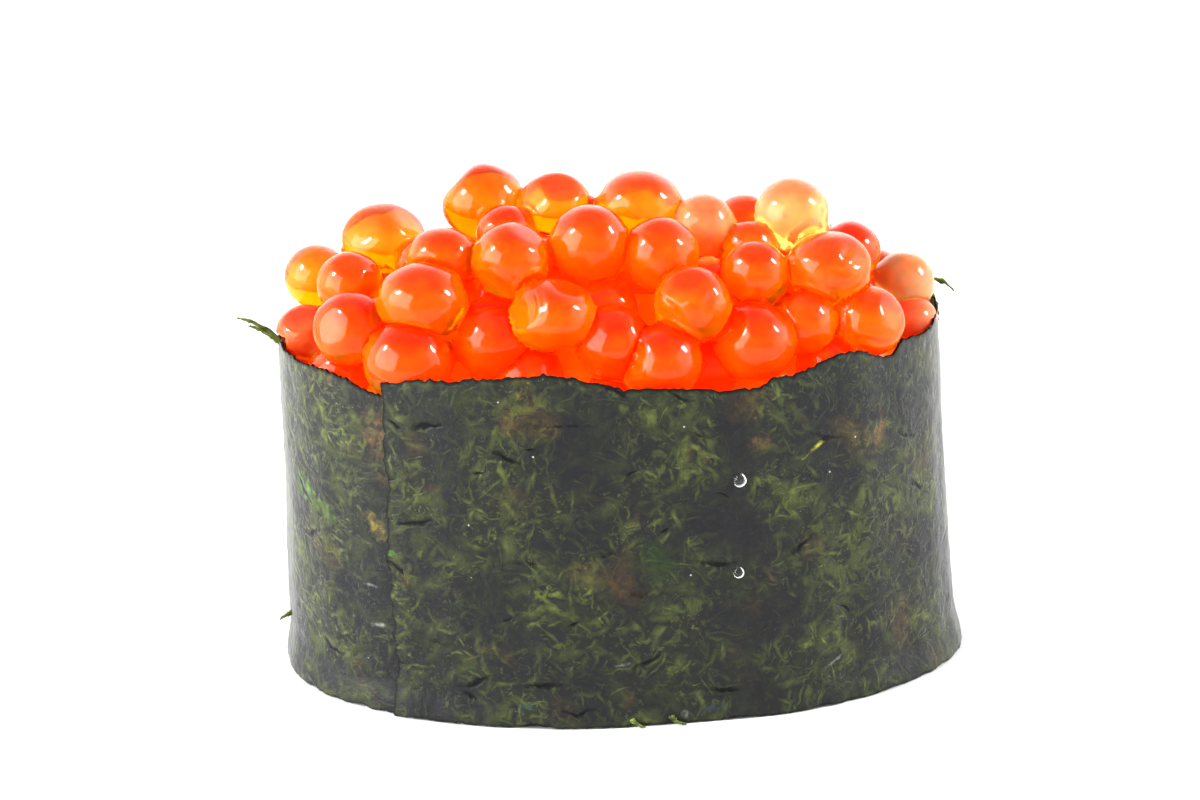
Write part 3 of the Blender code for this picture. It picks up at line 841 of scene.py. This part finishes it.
egg = {
    "roundness": 4,  # subdivisions of each egg's ball, one more where it has dents or creases
    "lump": 0.03,  # share of the radius that an egg departs from round by
    "lumpSize": 1.6,
    "skinGap": 0.02 * mm,  # between two eggs' skins where they press together
    "stripGap": 0.30 * mm,  # from the middle of the strip to a skin that leans on it
    "fillet": 0.45 * mm,  # hollow curve where the wet skins of two eggs meet
    "creaseDepth": 0.022,  # share of the radius
    "creaseSpacing": 0.34,
    "creaseReach": 0.40,
    "dentEase": 0.12,  # how round a dent's edge is
    "sag": 0.03,
    "specular": 0.27,
    "scatter": 1.0,
    "scatterReach": (2.4 * mm, 0.7 * mm, 0.25 * mm),
    "roughness": 0.02,
}

# Dents and flats on the listed eggs: egg number, which way it faces as seen (right, up, towards
# the viewer), and the share of the radius that is left there
dents = (
    (14, (-0.75, 0.25, 0.62), 0.80), (14, (0.35, 0.80, 0.50), 0.90),
    (22, (-0.50, 0.35, 0.80), 0.86), (22, (0.70, 0.55, 0.40), 0.86),
    (23, (-0.75, 0.62, 0.10), 0.84), (15, (-0.30, 0.55, 0.75), 0.86),
    (15, (-0.60, -0.45, 0.65), 0.88), (1, (-0.65, 0.05, 0.75), 0.84),
    (8, (-0.70, 0.35, 0.60), 0.86), (6, (-0.80, 0.10, 0.60), 0.86),
    (10, (0.75, 0.30, 0.55), 0.88), (19, (0.45, 0.75, 0.45), 0.88),
    (0, (-0.20, 0.55, 0.80), 0.86), (24, (0.10, 0.70, 0.70), 0.82),
    (24, (-0.60, 0.30, 0.70), 0.86), (17, (0.55, 0.45, 0.70), 0.92),
)

# Listed eggs set off from where the heap leaves them: egg number, and mm to the right, up, and
# away from the viewer
nudges = {
    0: (-0.95, 0, 0), 2: (0, 0.1, -1.8), 3: (0.3, 0, 3.4), 4: (0, 0, 1.5), 5: (0, 0, 2.2),
    6: (0.1, 0, -2.2), 7: (0, 0, 2.5), 8: (0, 0, -1.6), 9: (0, 0, 2.6), 10: (0, 0, -1.6),
    11: (0.6, 0.05, -2.8), 13: (0, -0.1, 1.4), 16: (0, 0, 0.6), 18: (0, -0.15, 0),
    22: (0, -0.1, 0), 24: (0, -0.15, 0), 27: (0.1, 0, 0), 33: (0, 0, 1.4),
}

# Listed eggs that are pressed lower than others: egg number, and share of the height left
squash = {
    2: 0.94, 6: 0.93, 10: 0.93, 13: 0.84, 14: 0.82, 17: 0.80, 18: 0.86, 22: 0.82, 23: 0.92,
    24: 0.85, 25: 0.80, 28: 0.88,
}

# Creases on listed eggs: egg number, where they are and which way they follow each other, as seen
creases = (
    (14, (-0.45, 0.35, 0.80), (0.90, 0.25, 0.30)),
    (15, (-0.60, 0.10, 0.80), (0.55, 0.80, 0.20)),
    (15, (0.45, -0.10, 0.85), (0.80, -0.30, 0.20)),
    (10, (0.15, -0.45, 0.85), (0.30, 0.90, 0.30)),
    (17, (0.45, 0.30, 0.80), (0.80, -0.40, 0.20)),
    (19, (-0.30, -0.50, 0.80), (0.50, 0.80, 0.20)),
)


def nudgeEggs(eggs):
    right, rise, back = viewWays()
    for number, (aside, higher, further) in nudges.items():
        eggs[number][0].xyz += (right * aside + rise * higher - back * further) * mm


def insideStrip(spot):
    # an egg's skin flattens against the strip
    if spot.z < band["height"] - 0.2 * mm:
        share = ovalShare(spot.x, spot.y, spot.z, egg["stripGap"])
        if share > 1:
            middle = ovalAt(spot.z)[0]
            spot = Vector((middle + (spot.x - middle) / share, spot.y / share, spot.z))
    return spot


def asSeen(way):
    right, rise, back = viewWays()
    return (right * way[0] + rise * way[1] + back * way[2]).normalized()


def eggMesh(eggs):
    # one mesh of all eggs, each pressed flat where it meets a neighbour
    bm = bmesh.new()
    traits = bm.verts.layers.float_vector.new("eggTraits")
    draw = random.Random(23)
    for number, (place, radius, tone) in enumerate(eggs):
        kind = next(index for index, row in enumerate(eggKinds) if tone < row[1])
        tumble = Euler([draw.uniform(0, math.tau) for _ in range(3)]).to_matrix().to_4x4()
        shift = Vector([draw.uniform(-50, 50) for _ in range(3)])
        ownDents = [(asSeen(way), left) for which, way, left in dents if which == number]
        ownCreases = [(asSeen(way), asSeen(across)) for which, way, across in creases
                      if which == number]
        roundness = egg["roundness"] + bool(ownDents or ownCreases)
        made = bmesh.ops.create_icosphere(bm, subdivisions=roundness, radius=1)["verts"]
        bmesh.ops.transform(bm, matrix=tumble, verts=made)
        flats = []
        fill = egg["fillet"] / radius
        ease = egg["dentEase"]
        for other, otherRadius, _ in eggs:
            apart = other - place
            if 0 < apart.length < radius + otherRadius + 1.2 * egg["fillet"]:
                share = (apart.length**2 + radius**2 - otherRadius**2) / (2 * apart.length)
                flats.append((apart.normalized(), (share - egg["skinGap"] / 2) / radius))
        for vert in made:
            way = vert.co.normalized()
            lump = noise.noise(way * egg["lumpSize"] + shift)
            spot = way * (1 + lump * egg["lump"])
            for towards, left in ownDents:
                beyond = spot.dot(towards) - left
                if beyond > -ease:
                    eased = beyond if beyond > ease else (beyond + ease) ** 2 / (4 * ease)
                    spot -= towards * eased
            for middle, across in ownCreases:
                off = way - middle
                phase = (off.dot(across) + 0.4 * off.length_squared) / egg["creaseSpacing"]
                waves = math.sin(phase * math.tau)
                fade = math.exp(-off.length_squared / egg["creaseReach"] ** 2)
                spot += way * waves * fade * egg["creaseDepth"]
            spot.z *= squash.get(number, 1 - egg["sag"])
            reach = 1.0
            limit = 9.0
            for towards, left in flats:
                forward = way.dot(towards)
                if forward <= 0:
                    continue
                # wetness draws the skin out to a neighbour, in a hollow curve of radius fill
                aside = math.sqrt(max(0.0, 1 - forward * forward))
                out = math.sqrt(max(0.0, (1 + fill) ** 2 - left * left))
                lean = left * forward + out * aside
                if lean > 1 + 1e-6 and forward > left / (1 + fill):
                    under = lean * lean - (1 + 2 * fill)
                    if under > 0:
                        reach = max(reach, lean - math.sqrt(under))
                    else:
                        reach = max(reach, left / forward)
                limit = min(limit, left / forward)
            reach = min(reach * spot.length, limit) if reach > 1 else min(spot.length, limit)
            spot = spot.normalized() * reach
            vert[traits] = Vector(((way.z + 1) / 2, tone, number * 0.37 % 1))
            vert.co = insideStrip(place + spot * radius)
        for face in {face for vert in made for face in vert.link_faces}:
            face.material_index = kind
    return bm


# Up to which tone a kind goes, what light loses on its way through a mm of it, red, green and
# blue, the skin's tint, how much of its green is left on top, and how clear the egg is
eggKinds = (
    ("paleEgg", 0.12, (0.0005, 0.026, 0.20), (1.0, 0.90, 0.42), 0.48, 0.80),
    ("amberEgg", 0.44, (0.0005, 0.15, 0.85), (1.0, 0.43, 0.025), 0.38, 0.80),
    ("orangeEgg", 0.70, (0.0005, 0.10, 1.00), (1.0, 0.40, 0.006), 0.34, 0.80),
    ("redEgg", 0.90, (0.001, 0.14, 1.20), (1.0, 0.31, 0.005), 0.32, 0.80),
    ("darkEgg", 1.20, (0.050, 0.30, 1.00), (0.86, 0.20, 0.060), 0.45, 0.55),
    ("rimEgg", 1.40, (0.003, 0.10, 0.50), (1.0, 0.25, 0.11), 0.60, 0.30),
    ("brownEgg", 2.0, (0.085, 0.11, 0.22), (0.86, 0.54, 0.28), 0.70, 0.62),
)


def eggMaterial(name, lost, tint, capGreen, clear):
    material, tree, shader = newMaterial(
        name, Transmission_Weight=clear, Subsurface_Weight=egg["scatter"],
        Subsurface_Radius=egg["scatterReach"], Subsurface_Scale=1.0, IOR=1.36,
        Specular_IOR_Level=egg["specular"], Roughness=egg["roughness"],
    )
    traits = addNode(tree, "ShaderNodeAttribute", (-1500, 0), attribute_name="eggTraits")
    parts = addNode(tree, "ShaderNodeSeparateXYZ", (-1300, 0), {0: traits.outputs["Vector"]})
    cloudy = useGroup(tree, mottle, (-1300, -300), Vector=objectPlace(tree, (-1700, -300)),
                      Scale=420.0, Detail=2.0, Low=0.3, High=0.7)["Mask"]
    cloudy = addMath(tree, "MULTIPLY", (-1200, -150), cloudy, 0.16)
    cap = addMath(tree, "ADD", (-1100, 0), parts.outputs["X"], cloudy)
    # painted light: the lower part of each egg is painted lighter and yellower, for the light that the
    # egg gathers underneath
    litBellyShare = addRange(tree, (-900, -100), cap, 0.50, 0.12)
    cap = addRange(tree, (-900, 100), cap, 0.76, 1.00)
    capTint = (tint[0], tint[1] * capGreen, tint[2] * 0.5, 1)
    # tint of the painted light on the lower part of the egg
    litBellyTint = (tint[0], min(1.0, tint[1] * 1.7), tint[2], 1)
    tinted = addMix(tree, (-700, 0), litBellyShare, (*tint, 1), litBellyTint)
    tree.links.new(addMix(tree, (-500, 100), cap, tinted, capTint), shader.inputs["Base Color"])
    most = max(lost) * 1.02
    inside = addNode(tree, "ShaderNodeVolumeAbsorption", (0, -400),
                     {"Color": (*[1 - each / most for each in lost], 1), "Density": most / mm})
    tree.links.new(inside.outputs[0], tree.nodes["Material Output"].inputs["Volume"])
    return material


eggs = heapEggs()
nudgeEggs(eggs)
roe = addPiece("roe_eggs", toMesh(eggMesh(eggs), "roe_eggs"),
               *[eggMaterial(name, *looks) for name, _, *looks in eggKinds])
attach(roe, "root")
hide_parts("roe_heap")


def squaredBall(segments, rings, squareness, place):
    bm = bmesh.new()
    bmesh.ops.create_uvsphere(bm, u_segments=segments, v_segments=rings, radius=1)
    for vert in bm.verts:
        flat = math.hypot(vert.co.x, vert.co.y)
        turn = math.degrees(math.atan2(vert.co.y, vert.co.x))
        vert.co = place(turn, flat**squareness, signedPower(vert.co.z, squareness))
    return bm


def roeCorePoint(turn, out, up):
    edge = onOval(turn, band["height"], -0.65 * mm)
    x, y = edge.x * out, edge.y * out
    top = max(dome(x, y) - heap["coreSink"], heap["floor"] + 1 * mm)
    return Vector((x, y, heap["floor"] + (top - heap["floor"]) * (up + 1) / 2))


coreMaterial, tree, shader = newMaterial(
    "roeDeep", Subsurface_Weight=1.0, Subsurface_Radius=(3 * mm, 0.6 * mm, 0.2 * mm),
    Subsurface_Scale=1.0, Roughness=0.2, Emission_Color=(1.0, 0.072, 0.0, 1),
    Emission_Strength=heap["deepGlow"],
)
tintByCloud(tree, shader, 260.0, 2.0, 0.35, 0.65, heap["deepRed"], heap["deepOrange"])


def makeRoeCore():
    bm = squaredBall(180, 70, 0.35, roeCorePoint)
    draw = random.Random(31)
    spacing = heap["buriedSize"]
    tops = []
    for row in range(-4, 5):
        for column in range(-6, 7):
            x = (column + row % 2 / 2) * spacing + draw.uniform(-1, 1) * heap["jitter"]
            y = row * spacing * 0.87 + draw.uniform(-1, 1) * heap["jitter"]
            tops.append(Vector((x, y, 0)))
    for vert in bm.verts:
        flat = Vector((vert.co.x, vert.co.y, 0))
        off = min((flat - top).length for top in tops) / spacing
        share = smoothStep((vert.co.z - heap["floor"]) / (3 * mm))
        rise = math.sqrt(max(0.0, 1 - 2.2 * off * off)) - 0.6
        vert.co.z += rise * heap["buriedRise"] * share
    return toMesh(bm, "roe_core")


roeCore = addPiece("roe_core", makeRoeCore(), coreMaterial)
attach(roeCore, "root")
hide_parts("roe_heap")


print("rice")

rice = {
    "top": 15 * mm,
    "coreBottom": 0.9 * mm,
    "squareness": 0.3,
    "grainLength": 6.2 * mm,
    "grainWidth": 3.1 * mm,
    "grainThickness": 2.4 * mm,
    "grainMiddle": 0.8 * mm,
    "spacing": 4.7 * mm,
    "inset": 0.65 * mm,
    "light": (0.90, 0.88, 0.80, 1),
    "dark": (0.78, 0.75, 0.64, 1),
}


def riceCorePoint(turn, out, up):
    middle = (rice["top"] + rice["coreBottom"]) / 2
    z = middle + up * (rice["top"] - rice["coreBottom"]) / 2
    edge = onOval(turn, z, -rice["inset"])
    return Vector((edge.x * out, edge.y * out, z))


riceMaterial, tree, shader = newMaterial(
    "cookedRice", Subsurface_Weight=0.6, Subsurface_Radius=(1.2 * mm, 1.0 * mm, 0.8 * mm),
    Subsurface_Scale=1.0, Roughness=0.35,
)
tintByCloud(tree, shader, 500.0, 3.0, 0.35, 0.65, rice["light"], rice["dark"])


def makeRice():
    bm = squaredBall(96, 24, rice["squareness"], riceCorePoint)
    draw = random.Random(11)
    rows = math.ceil(band["width"] / 2 / rice["spacing"])
    columns = math.ceil(band["length"] / 2 / rice["spacing"])
    size = Matrix.Diagonal(
        (rice["grainLength"] / 2, rice["grainWidth"] / 2, rice["grainThickness"] / 2, 1)
    )
    along = Matrix.Rotation(math.radians(90), 4, "Y")
    for row in range(-rows, rows + 1):
        for column in range(-columns, columns + 1):
            x = (column + row % 2 / 2) * rice["spacing"]
            y = row * rice["spacing"] * 0.87
            turn = draw.uniform(0, 180)
            if row or column:
                x += draw.uniform(-0.6, 0.6) * mm
                y += draw.uniform(-0.6, 0.6) * mm
            way = Vector((math.cos(math.radians(turn)), math.sin(math.radians(turn)), 0))
            tips = [Vector((x, y, 0)) + way * side * rice["grainLength"] * 0.28 for side in (-1, 1)]
            inset = rice["inset"] + rice["grainWidth"] * 0.62
            if any(ovalShare(tip.x, tip.y, 0, inset) >= 1 for tip in tips):
                continue
            spin = Matrix.Rotation(math.radians(turn), 4, "Z")
            place = Matrix.Translation((x, y, rice["grainMiddle"])) @ spin @ size @ along
            grain = bmesh.ops.create_uvsphere(bm, u_segments=24, v_segments=16, radius=1)["verts"]
            bmesh.ops.transform(bm, matrix=place, verts=grain)
            for vert in grain:
                vert.co.z = max(vert.co.z, 0)
    return bm


riceBed = addPiece("rice_grains", toMesh(makeRice(), "rice_grains"), riceMaterial)
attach(riceBed, "root")
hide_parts("rice_bed")


print("studio")

studioValues = {
    "world": 2.5,  # light from behind
    "worldFront": 0.45,
    "overheadShare": 0.28,
    "backdrop": 1.1,  # how bright the camera sees it
    "floor": (0.58, 0.58, 0.58, 1),
    "lens": 137.2,
    "sensor": 36,
    "framedRight": -1.73 * mm,  # how far from the aim the picture's middle is
    "framedUp": 1.64 * mm,
    "bounces": 10,
    # name, place, width and height in m, and brightness
    "lamps": (
        ("windowLeft", (-0.50, -0.17, 0.20), 0.62, 0.60, 6.0),
        ("windowRight", (0.50, -0.12, 0.20), 0.50, 0.50, 1.6),
        ("lampLeft", (-0.44, -0.02, 0.38), 0.09, 0.12, 55),
        ("lampRight", (0.46, -0.08, 0.36), 0.10, 0.17, 55),
    ),
}


def addStudio():
    bm = bmesh.new()
    bmesh.ops.create_grid(bm, x_segments=1, y_segments=1, size=3)
    material, _, _ = newMaterial("floorPaint", Base_Color=studioValues["floor"], Roughness=0.9)
    floor = addPiece("floor", toMesh(bm, "floor"), material, collection=studio)
    floor.location.z = -0.05 * mm
    world = bpy.data.worlds.new("studioWorld")
    bpy.context.scene.world = world
    world.use_nodes = True
    tree = world.node_tree
    direction = addNode(tree, "ShaderNodeTexCoord", (-900, 0)).outputs["Generated"]
    apart = addNode(tree, "ShaderNodeSeparateXYZ", (-700, 0), {0: direction})
    light = addRange(tree, (-500, 0), apart.outputs["Y"], -0.8, 0.1,
                     studioValues["worldFront"], studioValues["world"])
    overhead = addRange(tree, (-500, -300), apart.outputs["Z"], 0.45, 0.85, 1.0,
                        studioValues["overheadShare"])
    light = addMath(tree, "MULTIPLY", (-300, 0), light, overhead)
    seen = addNode(tree, "ShaderNodeLightPath", (-500, 300)).outputs["Is Camera Ray"]
    strength = addNode(tree, "ShaderNodeMix", (-150, 100),
                       {0: seen, 2: light, 3: studioValues["backdrop"]})
    background = tree.nodes["Background"]
    background.inputs["Color"].default_value = (1, 1, 1, 1)
    tree.links.new(strength.outputs[0], background.inputs["Strength"])


def turnToward(holder, target):
    holder.rotation_euler = (target - holder.location).to_track_quat("-Z", "Y").to_euler()


def addLamp(name, place, width, height, radiance):
    lamp = bpy.data.lights.new(name, "AREA")
    lamp.shape = "RECTANGLE"
    lamp.size, lamp.size_y = width, height
    lamp.energy = radiance * math.pi * width * height
    holder = bpy.data.objects.new(name, lamp)
    studio.objects.link(holder)
    holder.location = place
    turnToward(holder, sight["aim"])


def addCamera():
    right, rise, back = viewWays()
    lens = bpy.data.cameras.new("camera")
    lens.sensor_width = studioValues["sensor"]
    lens.lens = studioValues["lens"]
    lens.clip_start = 0.01
    camera = bpy.data.objects.new("camera", lens)
    studio.objects.link(camera)
    camera.location = sight["aim"] + back * sight["distance"]
    framed = right * studioValues["framedRight"] + rise * studioValues["framedUp"]
    turnToward(camera, sight["aim"] + framed)
    bpy.context.scene.camera = camera


addStudio()
addCamera()
for lamp in studioValues["lamps"]:
    addLamp(*lamp)

scene = bpy.context.scene
scene.view_settings.view_transform = "Standard"
scene.view_settings.look = "Medium High Contrast"
scene.cycles.use_denoising = True
scene.cycles.max_bounces = studioValues["bounces"]
scene.cycles.transmission_bounces = studioValues["bounces"]
scene.cycles.sample_clamp_indirect = 6
scene.cycles.caustics_refractive = True
